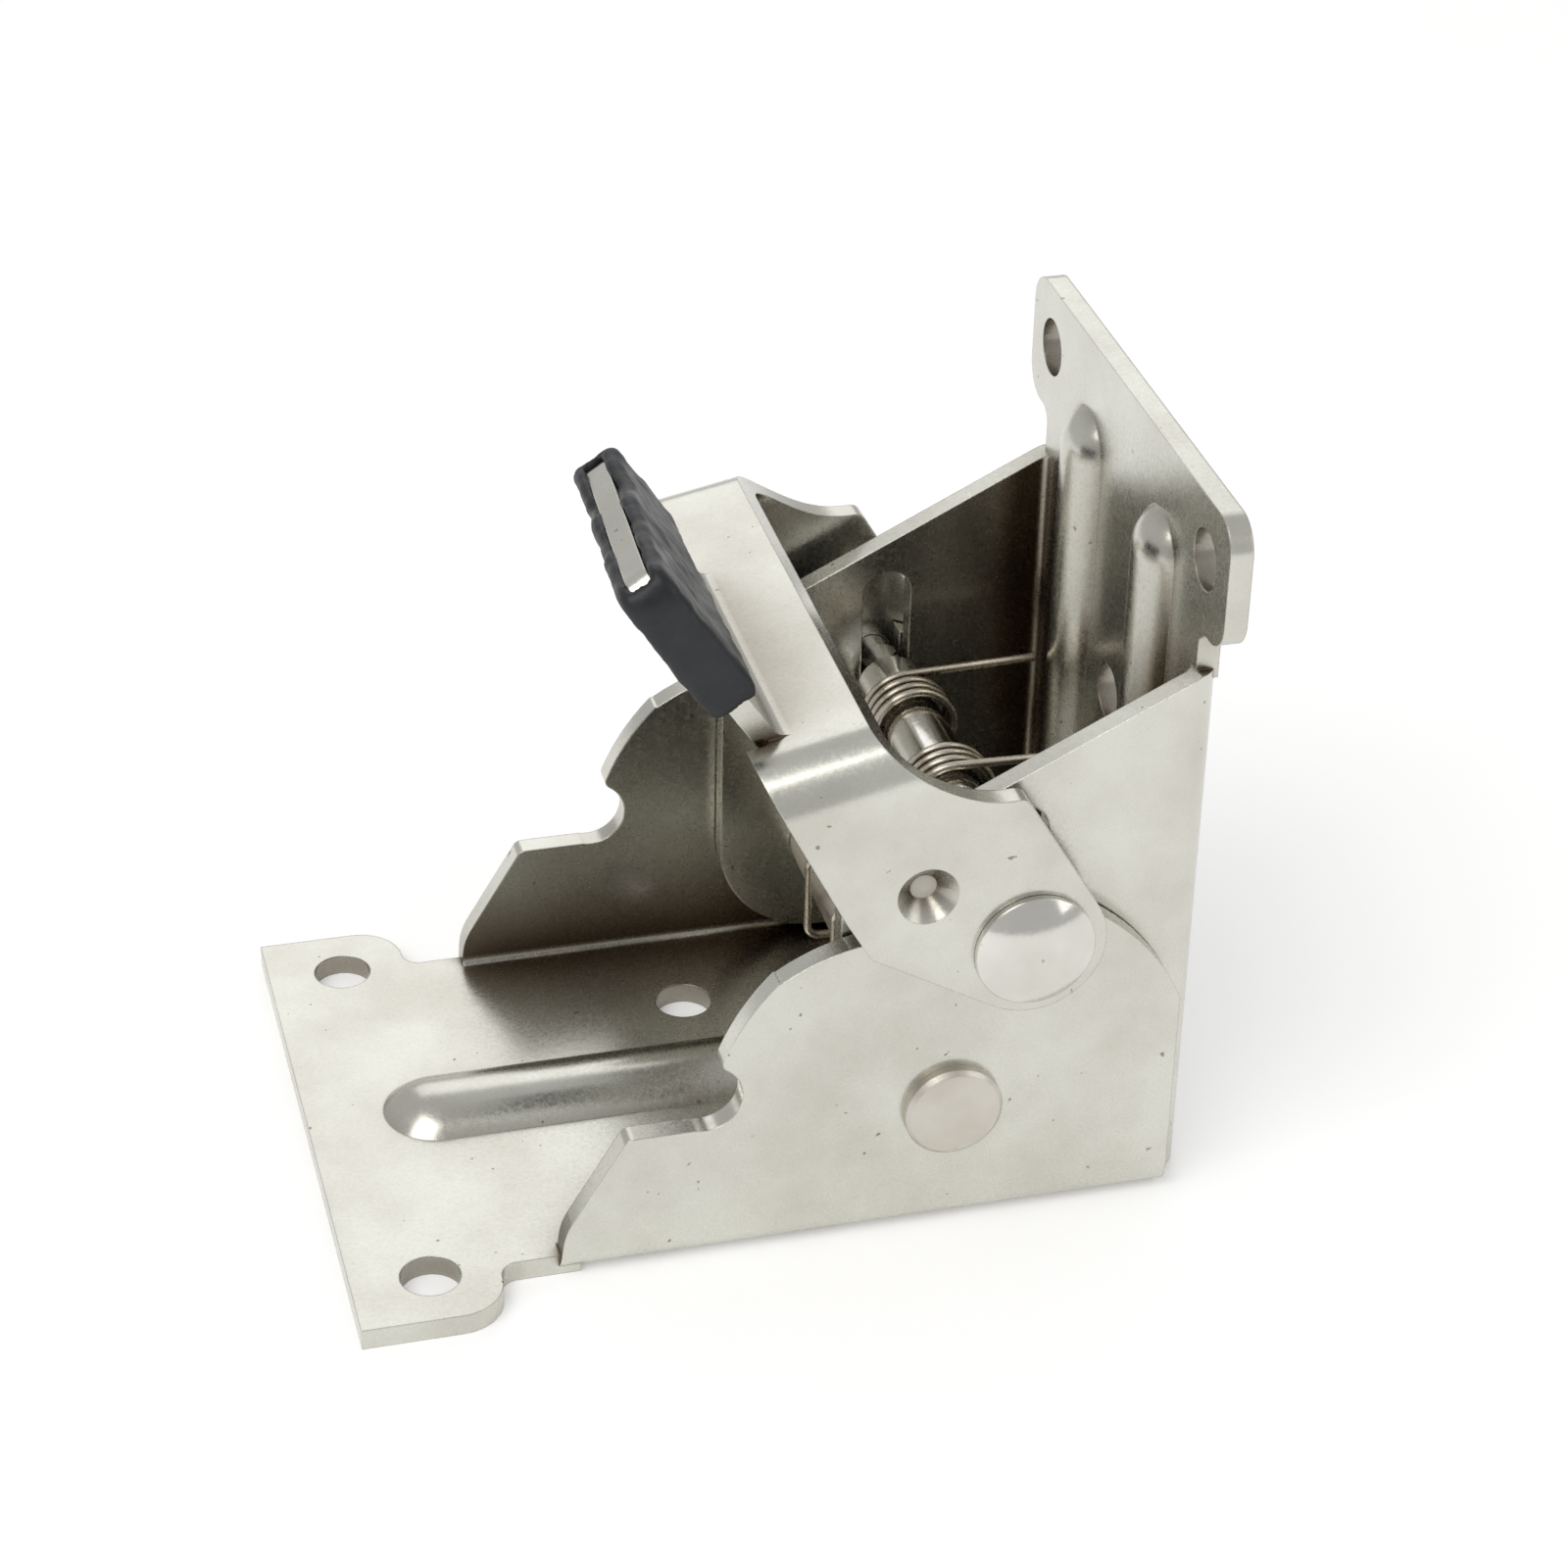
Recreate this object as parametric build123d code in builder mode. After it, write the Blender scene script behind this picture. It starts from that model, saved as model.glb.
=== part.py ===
from build123d import *
from math import cos, radians, sin
import os

os.makedirs("parts", exist_ok=True)

# Sizes shared by several pieces, in millimetres.
# X runs along the table plate towards the leg plate, Y across it and Z up.
# The pieces are drawn from the table face, straight under the pivot, and written in the row's frame,
# whose origin is on the table face under the middle of the whole bracket.
sheet = 2.0
bend_inside = 0.8
bend_outside = bend_inside + sheet
screw_hole_radius = 2.65
bead_rise = 2.2
blank_length = 80.0
cut_through = 40.0

pivot_height = 12.8
pivot_radius = 3.0
pivot_running_gap = 0.05
pivot_fixed_gap = 0.02

table_half_width = 24.1
table_left = -34.8
table_right = 20.4

channel_gap = 0.3
leg_half_width = table_half_width - sheet - channel_gap
leg_face = 22.7
web_face = leg_face - sheet

lock_x = 5.8
lock_z = 30.2
lock_lift = 8.8
lock_body_radius = 3.0
lock_slide_radius = 2.2
lock_slide_gap = 0.08
lock_end_radius = 1.8
lock_end_gap = 0.05
notch_gap = 0.25

arm_gap = 0.3
arm_inside = table_half_width + arm_gap
arm_outside = arm_inside + sheet

ear_left = -53.0
to_row = Pos(-(ear_left + leg_face) / 2, 0, 0)


# Where the lock pin's centre is, in the table's frame, when the leg is folded by so many degrees
def lock_centre(fold):
    reach = lock_z - pivot_height + lock_lift * fold / 90
    turn = radians(fold)
    return (lock_x * cos(turn) - reach * sin(turn), pivot_height + lock_x * sin(turn) + reach * cos(turn))


# Table bracket: the long bead pressed up in the floor, as an outer and an inner form
table_bead_width = 9.6
table_bead_left = -46.0
table_bead_right = 8.0
table_bead_crown = (table_bead_width**2 / 4 + bead_rise**2) / (2 * bead_rise)
table_bead_z = sheet + bead_rise - table_bead_crown
table_bead_start = table_bead_left + table_bead_width / 2
table_bead_end = table_bead_right - table_bead_width / 2
table_bead_middle = (table_bead_start + table_bead_end) / 2

with BuildPart() as table_bead_outer:
    with Locations(Location((table_bead_middle, 0, table_bead_z), (0, 90, 0))):
        Cylinder(table_bead_crown, table_bead_end - table_bead_start)
    with Locations((table_bead_start, 0, table_bead_z), (table_bead_end, 0, table_bead_z)):
        Sphere(table_bead_crown)
    split(bisect_by=Plane.XY.offset(sheet / 2), keep=Keep.TOP)

with BuildPart() as table_bead_inner:
    with Locations(Location((table_bead_middle, 0, table_bead_z), (0, 90, 0))):
        Cylinder(table_bead_crown - sheet, table_bead_end - table_bead_start)
    with Locations((table_bead_start, 0, table_bead_z), (table_bead_end, 0, table_bead_z)):
        Sphere(table_bead_crown - sheet)

# Table bracket: channel, walls, ears, notches and holes
rim_radius = 22.0
ledge_height = 14.0
foot_bend = (-34.4, 4.6)
foot_top = (-28.8, ledge_height)
bite_centre = (-22.0, 17.2)
bite_radius = 3.3

ear_right = -40.0
table_neck_half_width = table_half_width - 0.8
ear_overhang = 6.0
ear_half_width = table_neck_half_width + ear_overhang
ear_corner = 0.7 * ear_overhang
table_neck_corner = 0.27 * ear_overhang
ear_hole_inset = 5.9
ear_hole_x = -46.0
ear_hole_y = ear_half_width - ear_hole_inset
floor_hole_x = -15.4
floor_hole_y = 11.4

# The ramp beside the notch follows the lock pin's own path
lock_path = Edge.make_three_point_arc(lock_centre(0), lock_centre(30), lock_centre(60))
ramp_centre = (lock_path.arc_center.X, lock_path.arc_center.Y)
ramp_radius = lock_path.radius - lock_end_radius - notch_gap
notch_half_width = lock_end_radius + notch_gap
notch_left = -17.0
notch_right = lock_x + notch_half_width
notch_bottom = lock_z - notch_half_width

with BuildPart() as table_bracket:
    with BuildSketch(Plane.YZ.offset(table_left)):
        with Locations((0, blank_length / 2)):
            RectangleRounded(2 * table_half_width, blank_length, bend_outside)
        with Locations((0, blank_length / 2 + sheet)):
            RectangleRounded(2 * (table_half_width - sheet), blank_length, bend_inside, mode=Mode.SUBTRACT)
    extrude(amount=table_right - table_left)

    with BuildSketch(Plane.XZ) as wall_outline:
        with Locations((0, pivot_height)):
            Circle(rim_radius)
        with Locations(((table_left + table_right) / 2, blank_length / 2)):
            Rectangle(table_right - table_left, blank_length, mode=Mode.INTERSECT)
        with BuildLine():
            Polyline(
                (table_left, 0),
                (table_right, 0),
                (table_right, ledge_height),
                foot_top,
                foot_bend,
                close=True,
            )
        make_face()
        with Locations(bite_centre):
            Circle(bite_radius, mode=Mode.SUBTRACT)
        fillet(vertices().sort_by_distance((foot_bend[0], foot_bend[1], 0))[0], 6.0)
        fillet(vertices().sort_by_distance((foot_top[0], foot_top[1], 0))[0], 1.0)
        fillet(vertices().sort_by_distance((-20.5, 20.6, 0))[0], 0.8)
    extrude(amount=cut_through, both=True, mode=Mode.INTERSECT)

    with BuildSketch(Plane.XZ) as notch_outline:
        with Locations(((notch_left + notch_right) / 2, (notch_bottom + blank_length) / 2)):
            Rectangle(notch_right - notch_left, blank_length - notch_bottom)
        fillet(vertices().sort_by_distance((notch_right, notch_bottom, 0))[0], notch_half_width)
        with Locations(ramp_centre):
            Circle(ramp_radius, mode=Mode.SUBTRACT)
    extrude(amount=cut_through, both=True, mode=Mode.SUBTRACT)

    with BuildSketch(Plane.XY) as ears_outline:
        with Locations(((ear_left + ear_right) / 2, 0)):
            Rectangle(ear_right - ear_left, 2 * ear_half_width)
        with Locations(((ear_right + table_left) / 2, 0)):
            Rectangle(table_left - ear_right + 2 * sheet, 2 * table_neck_half_width)
        for side in (-1, 1):
            fillet(vertices().sort_by_distance((ear_right, side * ear_half_width, 0))[0], ear_corner)
            fillet(vertices().sort_by_distance((ear_right, side * table_neck_half_width, 0))[0], table_neck_corner)
    extrude(amount=sheet)

    add(table_bead_outer.part)
    add(table_bead_inner.part, mode=Mode.SUBTRACT)

    with BuildSketch(Plane.XY):
        with Locations((ear_hole_x, ear_hole_y), (ear_hole_x, -ear_hole_y)):
            Circle(screw_hole_radius)
        with Locations((floor_hole_x, floor_hole_y), (floor_hole_x, -floor_hole_y)):
            Circle(screw_hole_radius)
    extrude(amount=2 * sheet, both=True, mode=Mode.SUBTRACT)

    with BuildSketch(Plane.XZ):
        with Locations((0, pivot_height)):
            Circle(pivot_radius + pivot_fixed_gap)
    extrude(amount=cut_through, both=True, mode=Mode.SUBTRACT)

table_bracket_placed = to_row * table_bracket.part
table_bracket_placed.label = "table_bracket"
export_step(table_bracket_placed, "parts/table_bracket.step")

# Leg bracket: the two upright beads, as an outer and an inner form
leg_bead_y = 9.65
leg_bead_width = 8.0
leg_bead_bottom = 16.0
leg_bead_top = 61.5
leg_bead_crown = (leg_bead_width**2 / 4 + bead_rise**2) / (2 * bead_rise)
leg_bead_x = web_face - bead_rise + leg_bead_crown
leg_bead_start = leg_bead_bottom + leg_bead_width / 2
leg_bead_end = leg_bead_top - leg_bead_width / 2
leg_bead_middle = (leg_bead_start + leg_bead_end) / 2

with BuildPart() as leg_bead_outer:
    with Locations((leg_bead_x, -leg_bead_y, leg_bead_middle), (leg_bead_x, leg_bead_y, leg_bead_middle)):
        Cylinder(leg_bead_crown, leg_bead_end - leg_bead_start)
    with Locations((leg_bead_x, -leg_bead_y, leg_bead_start), (leg_bead_x, leg_bead_y, leg_bead_start)):
        Sphere(leg_bead_crown)
    with Locations((leg_bead_x, -leg_bead_y, leg_bead_end), (leg_bead_x, leg_bead_y, leg_bead_end)):
        Sphere(leg_bead_crown)
    split(bisect_by=Plane.YZ.offset(leg_face - sheet / 2), keep=Keep.BOTTOM)

with BuildPart() as leg_bead_inner:
    with Locations((leg_bead_x, -leg_bead_y, leg_bead_middle), (leg_bead_x, leg_bead_y, leg_bead_middle)):
        Cylinder(leg_bead_crown - sheet, leg_bead_end - leg_bead_start)
    with Locations((leg_bead_x, -leg_bead_y, leg_bead_start), (leg_bead_x, leg_bead_y, leg_bead_start)):
        Sphere(leg_bead_crown - sheet)
    with Locations((leg_bead_x, -leg_bead_y, leg_bead_end), (leg_bead_x, leg_bead_y, leg_bead_end)):
        Sphere(leg_bead_crown - sheet)

# Leg bracket: channel, sloping walls, ears, pin slots and holes
web_bottom = 0.6
toe_radius = 9.8
toe_bottom = pivot_height - toe_radius
wall_top_right = (20.9, 51.9)
wall_top_left = (-toe_radius, 36.5)

leg_neck_half_width = leg_half_width - 1.3
leg_neck_bottom = 51.0
leg_ear_bottom = 56.0
leg_ear_top = 68.0
leg_ear_overhang = 5.3
leg_ear_half_width = leg_neck_half_width + leg_ear_overhang
leg_ear_corner = 0.57 * leg_ear_overhang
leg_neck_corner = 0.3 * leg_ear_overhang
leg_ear_hole_inset = 5.45
leg_ear_hole_y = leg_ear_half_width - leg_ear_hole_inset
leg_ear_hole_z = 62.4
leg_web_hole_z = 38.0

slot_half_width = lock_slide_radius + lock_slide_gap
slot_bottom = lock_z - slot_half_width
slot_top = lock_z + lock_lift + slot_half_width

with BuildPart() as leg_bracket:
    with BuildSketch(Plane.XY.offset(web_bottom)):
        with Locations((leg_face - blank_length / 2, 0)):
            RectangleRounded(blank_length, 2 * leg_half_width, bend_outside)
        with Locations((web_face - blank_length / 2, 0)):
            RectangleRounded(blank_length, 2 * (leg_half_width - sheet), bend_inside, mode=Mode.SUBTRACT)
    extrude(amount=leg_ear_top)

    with BuildSketch(Plane.XZ) as leg_wall_outline:
        with BuildLine():
            Polyline(
                (0, toe_bottom),
                (web_face, toe_bottom),
                (web_face, web_bottom),
                (leg_face, web_bottom),
                (leg_face, wall_top_right[1]),
                wall_top_right,
                wall_top_left,
                (-toe_radius, pivot_height),
            )
            CenterArc((0, pivot_height), toe_radius, 180, 90)
        make_face()
        fillet(vertices().sort_by_distance((wall_top_left[0], wall_top_left[1], 0))[0], 3.0)
    extrude(amount=cut_through, both=True, mode=Mode.INTERSECT)

    with BuildSketch(Plane.YZ.offset(web_face)) as leg_ears_outline:
        with Locations((0, (leg_ear_bottom + leg_ear_top) / 2)):
            Rectangle(2 * leg_ear_half_width, leg_ear_top - leg_ear_bottom)
        with Locations((0, (leg_neck_bottom + leg_ear_bottom) / 2)):
            Rectangle(2 * leg_neck_half_width, leg_ear_bottom - leg_neck_bottom)
        for side in (-1, 1):
            fillet(vertices().sort_by_distance((side * leg_ear_half_width, leg_ear_top, 0))[0], leg_ear_corner)
            fillet(vertices().sort_by_distance((side * leg_ear_half_width, leg_ear_bottom, 0))[0], leg_ear_corner)
            fillet(vertices().sort_by_distance((side * leg_neck_half_width, leg_ear_bottom, 0))[0], leg_neck_corner)
    extrude(amount=sheet)

    add(leg_bead_outer.part)
    add(leg_bead_inner.part, mode=Mode.SUBTRACT)

    with BuildSketch(Plane.YZ.offset(web_face)):
        with Locations((-leg_ear_hole_y, leg_ear_hole_z), (leg_ear_hole_y, leg_ear_hole_z), (0, leg_web_hole_z)):
            Circle(screw_hole_radius)
    extrude(amount=2 * sheet, both=True, mode=Mode.SUBTRACT)

    with BuildSketch(Plane.XZ):
        with Locations((0, pivot_height)):
            Circle(pivot_radius + pivot_running_gap)
        with Locations((lock_x, (slot_bottom + slot_top) / 2)):
            SlotOverall(slot_top - slot_bottom, 2 * slot_half_width, rotation=90)
    extrude(amount=cut_through, both=True, mode=Mode.SUBTRACT)

leg_bracket_placed = to_row * leg_bracket.part
leg_bracket_placed.label = "leg_bracket"
export_step(leg_bracket_placed, "parts/leg_bracket.step")

# Pivot rivet: a plain shaft with a flat head on each side
pivot_head_radius = 4.4
pivot_head_height = 1.2
pivot_head_edge = 0.4

with BuildPart() as pivot_rivet:
    with Locations(Location((0, 0, pivot_height), (90, 0, 0))):
        Cylinder(pivot_radius, 2 * table_half_width)
    for side in (-1, 1):
        with Locations(Location((0, side * (table_half_width + pivot_head_height / 2), pivot_height), (90, 0, 0))):
            Cylinder(pivot_head_radius, pivot_head_height)
    chamfer(edges().group_by(Axis.Y)[0], pivot_head_edge)
    chamfer(edges().group_by(Axis.Y)[-1], pivot_head_edge)

pivot_rivet_placed = to_row * pivot_rivet.part
pivot_rivet_placed.label = "pivot_rivet"
export_step(pivot_rivet_placed, "parts/pivot_rivet.step")

# Lock pin: stepped down for the leg slots, the table notches and the lever arms, with a domed head each side
lock_head_radius = 5.25
lock_head_rim = 0.6
lock_head_height = 2.2
lock_body_end = leg_half_width - sheet - 1.2
lock_slide_end = (leg_half_width + table_half_width - sheet) / 2
lock_head_base = arm_outside + lock_end_gap

with BuildPart() as lock_pin:
    with BuildSketch(Plane(origin=(lock_x, 0, lock_z), x_dir=(0, 1, 0), z_dir=(1, 0, 0))):
        with BuildLine():
            Polyline(
                (0, 0),
                (0, lock_body_radius),
                (lock_body_end - 0.4, lock_body_radius),
                (lock_body_end, lock_body_radius - 0.4),
                (lock_body_end, lock_slide_radius),
                (lock_slide_end, lock_slide_radius),
                (lock_slide_end, lock_end_radius),
                (lock_head_base, lock_end_radius),
                (lock_head_base, lock_head_radius),
                (lock_head_base + lock_head_rim, lock_head_radius),
            )
            TangentArc(
                (lock_head_base + lock_head_height, 0),
                (lock_head_base + lock_head_rim, lock_head_radius),
                tangent=(0, 1),
            )
            Line((lock_head_base + lock_head_height, 0), (0, 0))
        make_face()
    revolve(axis=Axis((lock_x, 0, lock_z), (0, 1, 0)))
    mirror(about=Plane.XZ)

lock_pin_placed = to_row * lock_pin.part
lock_pin_placed.label = "lock_pin"
export_step(lock_pin_placed, "parts/lock_pin.step")

# Lock spring: two coils round the pin, a loop hooked under the pivot and an end leg from each coil to the web
spring_wire = 1.0
spring_wire_sides = 10
spring_coil_radius = 3.9
spring_pitch = 1.1
spring_turns = 3.25
spring_centre_y = 5.0
spring_coil_start = 8.1
spring_coil_length = spring_pitch * spring_turns
spring_loop_y = spring_coil_start - spring_coil_length
spring_leg_x = 18.6
spring_loop_x = -(pivot_radius + spring_wire / 2 + 0.4)
spring_loop_z = pivot_height - (pivot_radius + spring_wire / 2 + 0.4)

spring_leg_length = 12.8
spring_bend = 1.2
spring_coil = Pos(lock_x, spring_centre_y + spring_coil_start, lock_z) * Rot(0, 180, 0) * Helix(
    spring_pitch, spring_coil_length, spring_coil_radius, direction=(0, -1, 0)
)
spring_leg_end = spring_coil @ 0 - (spring_coil % 0) * spring_leg_length
spring_loop_start = spring_coil @ 1
spring_loop_y = spring_loop_start.Y

with BuildPart() as lock_spring:
    with BuildLine() as spring_path:
        Line(spring_leg_end, spring_coil @ 0)
        add(spring_coil)
        FilletPolyline(
            spring_loop_start,
            spring_loop_start + (spring_coil % 1) * 5.0,
            (spring_loop_x, spring_loop_y, pivot_height + pivot_radius + 1.0),
            (spring_loop_x, spring_loop_y, spring_loop_z),
            (0, spring_loop_y, spring_loop_z),
            (0, spring_centre_y, spring_loop_z),
            radius=spring_bend,
        )
    with BuildSketch(Plane(origin=spring_leg_end, z_dir=spring_coil % 0)):
        RegularPolygon(spring_wire / 2, spring_wire_sides)
    sweep(path=spring_path.wire())
    mirror(about=Plane.XZ.offset(-spring_centre_y))

lock_spring_placed = to_row * lock_spring.part
lock_spring_placed.label = "lock_spring"
export_step(lock_spring_placed, "parts/lock_spring.step")

# Lever: a strap bent over the bracket, with its bridge tilted and an arm down each side
bridge_tilt = radians(11.5)
bridge_along = Vector(cos(bridge_tilt), 0, sin(bridge_tilt))
bridge_up = Vector(-sin(bridge_tilt), 0, cos(bridge_tilt))
tab_root_back = 20.8
tab_root_up = 19.65
tab_root = Vector(lock_x - tab_root_back, 0, lock_z + tab_root_up)
bridge_section = Plane(origin=tab_root, x_dir=(0, 1, 0), z_dir=bridge_along)
bridge_top = Plane(origin=tab_root, x_dir=bridge_along, z_dir=bridge_up)
arm_bend_inside = 3.0
arm_bend_outside = arm_bend_inside + sheet
arm_eye_radius = 6.5
arm_hole_radius = lock_end_radius + lock_end_gap

# Corners of the arm's outline, from the lock pin's centre
lever_side = Plane(origin=(lock_x, 0, lock_z), x_dir=(1, 0, 0), z_dir=(0, -1, 0))
arm_nose = (-1.4, 15.0)
arm_waist = (-13.8, 20.9)
arm_front_top = (-15.2, 23.8)
arm_back_top = (-26.2, 23.8)
arm_back = (-16.4, 4.6)
arm_heel = (-14.2, 0.8)

relief_half_width = arm_inside - arm_bend_inside - 0.9
relief_edge = -0.9
relief_corner = 0.8

# Dimple pressed in each arm, where the arm rocks on the wall's rim
dimple_x = lock_x - 9.5
dimple_z = lock_z + 6.5
dimple_radius = 2.7
dimple_floor_radius = 1.15
dimple_depth = 1.6
dimple_bump_radius = 2.4
dimple_bump_tip = 1.3
dimple_bump_rise = 1.3

# Lever tab: bent up from the bridge's left edge, with a slanting free end
tab_lean = radians(124.0)
tab_along = Vector(cos(tab_lean), 0, sin(tab_lean))
tab_up = Vector(sin(tab_lean), 0, -cos(tab_lean))
tab_face = Plane(origin=tab_root, x_dir=(0, 1, 0), z_dir=tab_up)
tab_side_gap = 0.6
tab_width = 27.8
tab_near = tab_side_gap - relief_half_width
tab_far = tab_near + tab_width
tab_near_length = 20.0
tab_far_length = 15.4
tab_bend_inside = 1.5
tab_corner = 1.6
tab_flat_start = 3.0

# Corners of the tab's bend, on its upper face and under it
tab_root_under = tab_root - (bridge_up + tab_up) * (sheet / (1 + bridge_up.dot(tab_up)))
tab_start = tab_root + tab_along * (tab_flat_start + 0.5)
tab_start_under = tab_start - tab_up * sheet
bridge_end = tab_root + bridge_along * 3.0
bridge_end_under = bridge_end - bridge_up * sheet

with BuildPart() as lever:
    with BuildSketch(bridge_section):
        with Locations((0, -blank_length / 2)):
            RectangleRounded(2 * arm_outside, blank_length, arm_bend_outside)
        with Locations((0, -blank_length / 2 - sheet)):
            RectangleRounded(2 * arm_inside, blank_length, arm_bend_inside, mode=Mode.SUBTRACT)
    extrude(amount=cut_through, both=True)

    with BuildSketch(lever_side) as arm_outline:
        with BuildLine():
            arm_eye = CenterArc((0, 0), arm_eye_radius, -122, 152)
            Line((arm_eye_radius * cos(radians(30)), arm_eye_radius * sin(radians(30))), arm_nose)
            Spline(arm_nose, (-5.5, 15.3), (-8.9, 16.9), (-11.1, 18.4), arm_waist)
            Polyline(
                arm_waist,
                arm_front_top,
                arm_back_top,
                arm_back,
                arm_heel,
                (arm_eye_radius * cos(radians(122)), -arm_eye_radius * sin(radians(122))),
            )
        make_face()
        fillet(vertices().sort_by_distance((arm_nose[0], arm_nose[1], 0))[0], 1.2)
        fillet(vertices().sort_by_distance((arm_back[0], arm_back[1], 0))[0], 2.5)
        fillet(vertices().sort_by_distance((arm_heel[0], arm_heel[1], 0))[0], 1.2)
    extrude(amount=cut_through, both=True, mode=Mode.INTERSECT)

    with BuildSketch(bridge_top) as relief_outline:
        with Locations((relief_edge - sheet * 3, 0)):
            RectangleRounded(sheet * 6, 2 * relief_half_width, relief_corner)
    extrude(amount=2 * sheet, both=True, mode=Mode.SUBTRACT)

    with BuildSketch(Plane.XZ.offset(-tab_far)) as tab_bend:
        with BuildLine():
            Polyline(
                (tab_root.X, tab_root.Z),
                (bridge_end.X, bridge_end.Z),
                (bridge_end_under.X, bridge_end_under.Z),
                (tab_root_under.X, tab_root_under.Z),
                (tab_start_under.X, tab_start_under.Z),
                (tab_start.X, tab_start.Z),
                close=True,
            )
        make_face()
        fillet(vertices().sort_by_distance((tab_root.X, tab_root.Z, 0))[0], tab_bend_inside)
        fillet(vertices().sort_by_distance((tab_root_under.X, tab_root_under.Z, 0))[0], tab_bend_inside + sheet)
    extrude(amount=tab_far - tab_near)

    with BuildSketch(tab_face) as tab_outline:
        with BuildLine():
            Polyline(
                (tab_near, tab_flat_start),
                (tab_near, tab_near_length),
                (tab_far, tab_far_length),
                (tab_far, tab_flat_start),
                close=True,
            )
        make_face()
        fillet(vertices().group_by(Axis.Y)[1:], tab_corner)
    extrude(amount=-sheet)

    with BuildSketch(Plane.XZ):
        with Locations((lock_x, lock_z)):
            Circle(arm_hole_radius)
    extrude(amount=cut_through, both=True, mode=Mode.SUBTRACT)

    for side in (-1, 1):
        outside = Plane(origin=(dimple_x, side * arm_outside, dimple_z), x_dir=(1, 0, 0), z_dir=(0, -side, 0))
        inside = Plane(origin=(dimple_x, side * arm_inside, dimple_z), x_dir=(1, 0, 0), z_dir=(0, -side, 0))
        with BuildSketch(inside.offset(-sheet / 2)):
            Circle(dimple_bump_radius)
        with BuildSketch(inside):
            Circle(dimple_bump_radius)
        loft()
        with BuildSketch(inside):
            Circle(dimple_bump_radius)
        with BuildSketch(inside.offset(dimple_bump_rise)):
            Circle(dimple_bump_tip)
        loft()
        with BuildSketch(outside):
            Circle(dimple_radius)
        with BuildSketch(outside.offset(dimple_depth)):
            Circle(dimple_floor_radius)
        loft(mode=Mode.SUBTRACT)

lever_placed = to_row * lever.part
lever_placed.label = "lever"
export_step(lever_placed, "parts/lever.step")

# Grip: a vinyl sleeve pulled over the tab, worn through to the metal along its free end
grip_wall = 1.3
grip_start = 5.5
grip_corner = 2.2
grip_round = 0.9
tab_slope = (tab_far_length - tab_near_length) / (tab_far - tab_near)


# How far the tab's free end is from its root, at a place across the lever
def tab_end(across):
    return tab_near_length + tab_slope * (across - tab_near)


grip_near = tab_near - grip_wall
grip_far = tab_far + grip_wall

# The worn lip wanders to and fro along the tab's free end
lip_wear = (0.3, -0.2, 0.2, -0.2, 0.3, -0.5, 0.4, 0.6)
lip_step = (grip_far - grip_near) / (len(lip_wear) - 1)
lip_points = []
for place, wear in enumerate(lip_wear):
    lip_across = grip_near + place * lip_step
    lip_points.append((lip_across, tab_end(lip_across) + wear))

with BuildPart() as grip_sleeve:
    with BuildSketch(tab_face.offset(grip_wall)) as grip_outline:
        with BuildLine():
            Polyline(*lip_points, (grip_far, grip_start), (grip_near, grip_start), close=True)
        make_face()
        fillet(vertices().sort_by_distance((grip_near, tab_end(grip_near), 0))[0], grip_corner)
        fillet(vertices().sort_by_distance((grip_far, tab_end(grip_far), 0))[0], grip_corner)
    extrude(amount=-sheet - 2 * grip_wall)
    fillet(faces().sort_by(Axis((0, 0, 0), tab_up))[0].edges(), grip_round)
    fillet(faces().sort_by(Axis((0, 0, 0), tab_up))[-1].edges(), grip_round)
    with BuildSketch(tab_face):
        with BuildLine():
            Polyline(
                (tab_near, grip_start - 1.0),
                (tab_near, tab_near_length),
                (tab_near, tab_near_length + sheet),
                (tab_far, tab_far_length + sheet * 2),
                (tab_far, grip_start - 1.0),
                close=True,
            )
        make_face()
    extrude(amount=-sheet, mode=Mode.SUBTRACT)

grip_sleeve_placed = to_row * grip_sleeve.part
grip_sleeve_placed.label = "grip_sleeve"
export_step(grip_sleeve_placed, "parts/grip_sleeve.step")
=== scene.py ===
from math import radians

import bmesh
import bpy
from mathutils import Euler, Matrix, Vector

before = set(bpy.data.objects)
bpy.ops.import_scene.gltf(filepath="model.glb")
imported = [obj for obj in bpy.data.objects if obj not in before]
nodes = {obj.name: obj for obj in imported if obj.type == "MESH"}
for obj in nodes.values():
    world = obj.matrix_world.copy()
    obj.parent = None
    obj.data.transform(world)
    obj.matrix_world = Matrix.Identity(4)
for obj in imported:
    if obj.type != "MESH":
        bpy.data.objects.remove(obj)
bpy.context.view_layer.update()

# The table bracket is a channel pressed from steel sheet and nickel plated. It lies on the
# table's underside, is screwed down through its floor and ears, and holds the pivot rivet.
plate_light = (0.655, 0.650, 0.590, 1.0)
plate_dark = (0.570, 0.556, 0.498, 1.0)
pit_colour = (0.200, 0.150, 0.100, 1.0)
# Painted shade: the dark brown that recesses and corners are darkened towards.
painted_shade_colour = (0.110, 0.072, 0.038, 1.0)
plate_rough = (0.20, 0.30)
plate_pits = 0.775
plate_clouds = 95.0
plate_grain = 2600.0
plate_peel = 900.0
plate_specks = 1150.0
painted_shade_reach = 0.020
edge_round = 0.00022


def add_node(tree, kind, **values):
    made = tree.nodes.new(kind)
    for name, value in values.items():
        setattr(made, name, value)
    return made


def add_noise(tree, vector, scale, detail, roughness):
    made = add_node(tree, "ShaderNodeTexNoise")
    made.inputs["Scale"].default_value = scale
    made.inputs["Detail"].default_value = detail
    made.inputs["Roughness"].default_value = roughness
    tree.links.new(vector, made.inputs["Vector"])
    return made.outputs["Fac"]


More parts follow.
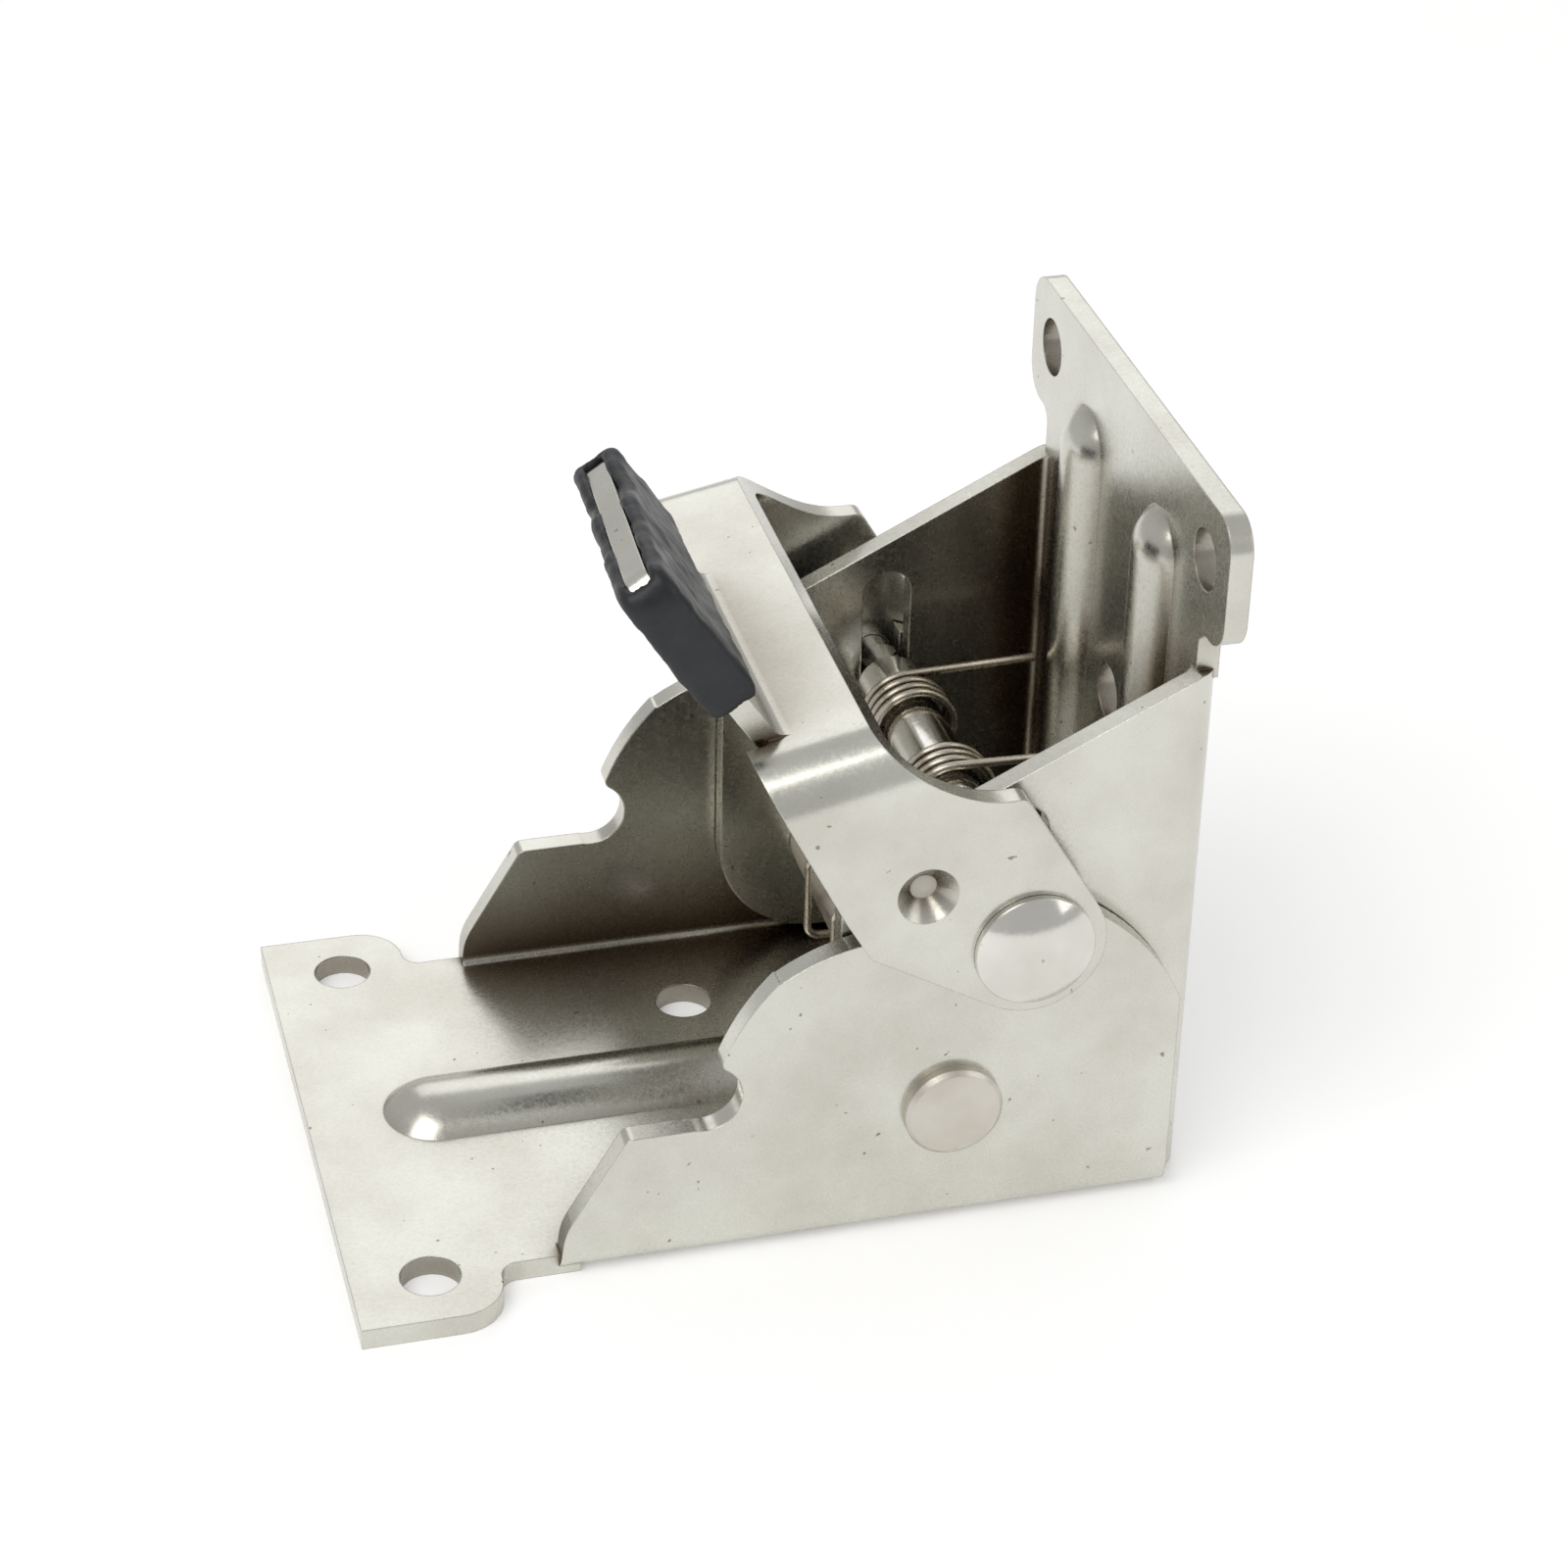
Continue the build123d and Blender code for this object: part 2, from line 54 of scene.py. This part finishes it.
def add_ramp(tree, source, low, high, low_value, high_value):
    made = add_node(tree, "ShaderNodeMapRange")
    made.inputs["From Min"].default_value = low
    made.inputs["From Max"].default_value = high
    made.inputs["To Min"].default_value = low_value
    made.inputs["To Max"].default_value = high_value
    tree.links.new(source, made.inputs["Value"])
    return made.outputs["Result"]


def add_mix(tree, factor, first, second):
    made = add_node(tree, "ShaderNodeMix", data_type="RGBA")
    tree.links.new(factor, made.inputs["Factor"])
    for value, socket in ((first, made.inputs["A"]), (second, made.inputs["B"])):
        if isinstance(value, tuple):
            socket.default_value = value
        else:
            tree.links.new(value, socket)
    return made.outputs["Result"]


def add_bump(tree, height, strength, distance, normal):
    made = add_node(tree, "ShaderNodeBump")
    made.inputs["Strength"].default_value = strength
    made.inputs["Distance"].default_value = distance
    tree.links.new(height, made.inputs["Height"])
    tree.links.new(normal, made.inputs["Normal"])
    return made.outputs["Normal"]


def rounded_edges(tree, radius):
    made = add_node(tree, "ShaderNodeBevel", samples=4)
    made.inputs["Radius"].default_value = radius
    return made.outputs["Normal"]


# Plating on steel: cloudy patches, fine orange peel and a few dark pits, with painted shade
# darkening the recesses.
def plated_steel(name, light, dark, rough, pits, painted_shade_depth):
    made = bpy.data.materials.new(name)
    made.use_nodes = True
    tree = made.node_tree
    shader = tree.nodes["Principled BSDF"]
    place = add_node(tree, "ShaderNodeTexCoord").outputs["Object"]
    clouds = add_noise(tree, place, plate_clouds, 4.0, 0.55)
    grain = add_noise(tree, place, plate_grain, 3.0, 0.6)
    peel = add_noise(tree, place, plate_peel, 2.0, 0.5)
    specks = add_noise(tree, place, plate_specks, 1.0, 0.4)
    plate = add_mix(tree, add_ramp(tree, clouds, 0.38, 0.66, 0.0, 1.0), light, dark)
    pitted = add_mix(tree, add_ramp(tree, specks, pits, pits + 0.03, 0.0, 0.75), plate, pit_colour)
    # Painted shade: ambient occlusion finds the recesses, and the colour is darkened there towards
    # dark brown.
    shade = add_node(tree, "ShaderNodeAmbientOcclusion", samples=16, only_local=True)
    shade.inputs["Distance"].default_value = painted_shade_reach
    painted_shade_amount = add_ramp(tree, shade.outputs["AO"], 0.52, 0.93, painted_shade_depth, 0.0)
    colour = add_mix(tree, painted_shade_amount, pitted, painted_shade_colour)
    fine = add_bump(tree, grain, 0.10, 0.00002, rounded_edges(tree, edge_round))
    normal = add_bump(tree, peel, 0.16, 0.00006, fine)
    tree.links.new(normal, shader.inputs["Normal"])
    tree.links.new(colour, shader.inputs["Base Color"])
    tree.links.new(add_ramp(tree, grain, 0.3, 0.7, *rough), shader.inputs["Roughness"])
    shader.inputs["Metallic"].default_value = 1.0
    return made


def paint(node, material):
    data = nodes[node].data
    if not data.materials:
        data.materials.append(material)
    for index in range(len(data.materials)):
        data.materials[index] = material


plate = plated_steel("nickel_plate", plate_light, plate_dark, plate_rough, plate_pits, 0.92)
paint("table_bracket", plate)

# The leg bracket is a second pressed channel, with two beads along its web to stiffen it. It
# turns on the pivot rivet between the table bracket's walls, and the leg is screwed to it.
paint("leg_bracket", plate)

# The lever is a strap of the same plated sheet, bent over the brackets from side to side.
# Moving its tab lifts the lock pin out of the notches in the table bracket's walls.
paint("lever", plate)

# The pivot rivet is a plain steel pin with two satin heads, set across both brackets.
# Its plating is duller and warmer than the sheet's.
satin_light = (0.620, 0.590, 0.530, 1.0)
satin_dark = (0.500, 0.465, 0.405, 1.0)
satin = plated_steel("satin_rivet", satin_light, satin_dark, (0.32, 0.44), 0.78, 0.6)
paint("pivot_rivet", satin)

# The lock pin is a stepped steel pin with domed and polished heads. It slides up and down in
# the slots of the leg bracket, and rests in the notches of the table bracket's walls.
polished_light = (0.740, 0.730, 0.690, 1.0)
polished_dark = (0.620, 0.600, 0.550, 1.0)
polished = plated_steel("polished_pin", polished_light, polished_dark, (0.10, 0.18), 0.80, 0.7)
paint("lock_pin", polished)

# The lock spring is thin wire in two coils round the pin, with a loop hooked under the pivot
# rivet and an end leg from each coil to the web. Its wire is drawn finer than the solid's.
wire_light = (0.620, 0.570, 0.490, 1.0)
wire_dark = (0.400, 0.350, 0.280, 1.0)
wire_thinning = 0.0001
wire = plated_steel("spring_wire", wire_light, wire_dark, (0.20, 0.32), 0.79, 0.8)
paint("lock_spring", wire)
weld = nodes["lock_spring"].modifiers.new("closed_wire", "WELD")
weld.merge_threshold = 0.000002
thin = nodes["lock_spring"].modifiers.new("finer_wire", "DISPLACE")
thin.direction = "NORMAL"
thin.mid_level = 0.0
thin.strength = -wire_thinning

# The grip sleeve is soft black vinyl, pushed over the lever's tab. Its surface is scuffed
# and slightly wrinkled, and it has worn through at its free end.
vinyl_light = (0.024, 0.026, 0.030, 1.0)
vinyl_dark = (0.009, 0.010, 0.012, 1.0)
skin_scuffs = 260.0
skin_creases = 620.0
skin_grain = 3200.0
skin_cell = 0.00035
skin_wrinkle = 0.00050
skin_wrinkle_width = 0.0030


def black_vinyl(name):
    made = bpy.data.materials.new(name)
    made.use_nodes = True
    tree = made.node_tree
    shader = tree.nodes["Principled BSDF"]
    place = add_node(tree, "ShaderNodeTexCoord").outputs["Object"]
    scuffs = add_noise(tree, place, skin_scuffs, 5.0, 0.6)
    creases = add_noise(tree, place, skin_creases, 2.0, 0.55)
    grain = add_noise(tree, place, skin_grain, 3.0, 0.6)
    colour = add_mix(tree, add_ramp(tree, scuffs, 0.40, 0.70, 0.0, 1.0), vinyl_dark, vinyl_light)
    coarse = add_bump(tree, creases, 0.30, 0.00020, rounded_edges(tree, edge_round * 2))
    normal = add_bump(tree, grain, 0.30, 0.00006, coarse)
    tree.links.new(normal, shader.inputs["Normal"])
    tree.links.new(colour, shader.inputs["Base Color"])
    tree.links.new(add_ramp(tree, scuffs, 0.3, 0.7, 0.34, 0.56), shader.inputs["Roughness"])
    shader.inputs["Specular IOR Level"].default_value = 0.40
    return made


paint("grip_sleeve", black_vinyl("black_vinyl"))
skin = nodes["grip_sleeve"].modifiers.new("even_skin", "REMESH")
skin.mode = "VOXEL"
skin.voxel_size = skin_cell
skin.use_smooth_shade = True
ripple = bpy.data.textures.new("skin_ripple", "CLOUDS")
ripple.noise_scale = skin_wrinkle_width
ripple.noise_depth = 2
wrinkle = nodes["grip_sleeve"].modifiers.new("wrinkled_skin", "DISPLACE")
wrinkle.texture = ripple
wrinkle.texture_coords = "LOCAL"
wrinkle.mid_level = 0.5
wrinkle.strength = skin_wrinkle

# The floor is a sheet of white paper that the table face lies on. The camera and the plating
# see it as white, and it keeps the bracket's shadow.
floor_size = 3.0
floor_glow = 0.20
paper_colour = (0.93, 0.93, 0.93, 1.0)
paper_rough = 0.85
floor_mesh = bpy.data.meshes.new("floor")
floor_shape = bmesh.new()
bmesh.ops.create_grid(floor_shape, x_segments=1, y_segments=1, size=floor_size / 2)
floor_shape.to_mesh(floor_mesh)
floor_shape.free()
floor = bpy.data.objects.new("floor", floor_mesh)
bpy.context.collection.objects.link(floor)
paper = bpy.data.materials.new("paper")
paper.use_nodes = True
paper_tree = paper.node_tree
paper_shader = paper_tree.nodes["Principled BSDF"]
paper_shader.inputs["Base Color"].default_value = paper_colour
paper_shader.inputs["Roughness"].default_value = paper_rough
seen = add_node(paper_tree, "ShaderNodeLightPath")
seen_or_mirrored = add_node(paper_tree, "ShaderNodeMath", operation="ADD")
paper_tree.links.new(seen.outputs["Is Camera Ray"], seen_or_mirrored.inputs[0])
paper_tree.links.new(seen.outputs["Is Glossy Ray"], seen_or_mirrored.inputs[1])
glow_level = add_node(paper_tree, "ShaderNodeMath", operation="MULTIPLY")
glow_level.inputs[1].default_value = floor_glow
paper_tree.links.new(seen_or_mirrored.outputs[0], glow_level.inputs[0])
glow = add_node(paper_tree, "ShaderNodeEmission")
paper_tree.links.new(glow_level.outputs[0], glow.inputs["Strength"])
both = add_node(paper_tree, "ShaderNodeAddShader")
paper_tree.links.new(paper_shader.outputs["BSDF"], both.inputs[0])
paper_tree.links.new(glow.outputs["Emission"], both.inputs[1])
paper_out = paper_tree.nodes["Material Output"]
paper_tree.links.new(both.outputs["Shader"], paper_out.inputs["Surface"])
floor_mesh.materials.append(paper)

# The lights are three soft square panels turned to the bracket, with an even pale world.
look_at = Vector((0.0, 0.0, 0.030))
world_colour = (0.95, 0.95, 0.95, 1.0)
world_strength = 0.62


def add_panel(name, place, size, power, colour):
    lamp = bpy.data.lights.new(name, "AREA")
    lamp.shape = "SQUARE"
    lamp.size = size
    lamp.energy = power
    lamp.color = colour
    made = bpy.data.objects.new(name, lamp)
    made.location = place
    made.rotation_euler = (look_at - Vector(place)).to_track_quat("-Z", "Y").to_euler()
    bpy.context.collection.objects.link(made)


add_panel("key", (-0.35, -0.30, 0.70), 0.55, 2.6, (1.0, 0.99, 0.97))
add_panel("side", (0.65, -0.45, 0.40), 0.50, 0.8, (1.0, 1.0, 1.0))
add_panel("back", (0.10, 0.80, 0.55), 0.60, 0.9, (1.0, 1.0, 1.0))
world = bpy.data.worlds.new("studio")
world.use_nodes = True
world.node_tree.nodes["Background"].inputs["Color"].default_value = world_colour
world.node_tree.nodes["Background"].inputs["Strength"].default_value = world_strength
bpy.context.scene.world = world

# The camera stands where the photograph was taken from, in metres and degrees. Its place and
# turn were fitted to corners of the brackets.
camera_place = (-0.07230, -0.28536, 0.21817)
camera_turn = (57.866, -1.107, -14.654)
camera_lens = 90.48
sensor_width = 36.0
nearest_seen = 0.01
lens = bpy.data.cameras.new("camera")
lens.lens = camera_lens
lens.sensor_width = sensor_width
lens.clip_start = nearest_seen
camera = bpy.data.objects.new("camera", lens)
camera.location = camera_place
camera.rotation_euler = Euler([radians(turn) for turn in camera_turn], "XYZ")
bpy.context.collection.objects.link(camera)
bpy.context.scene.camera = camera
bpy.context.scene.view_settings.view_transform = "Standard"
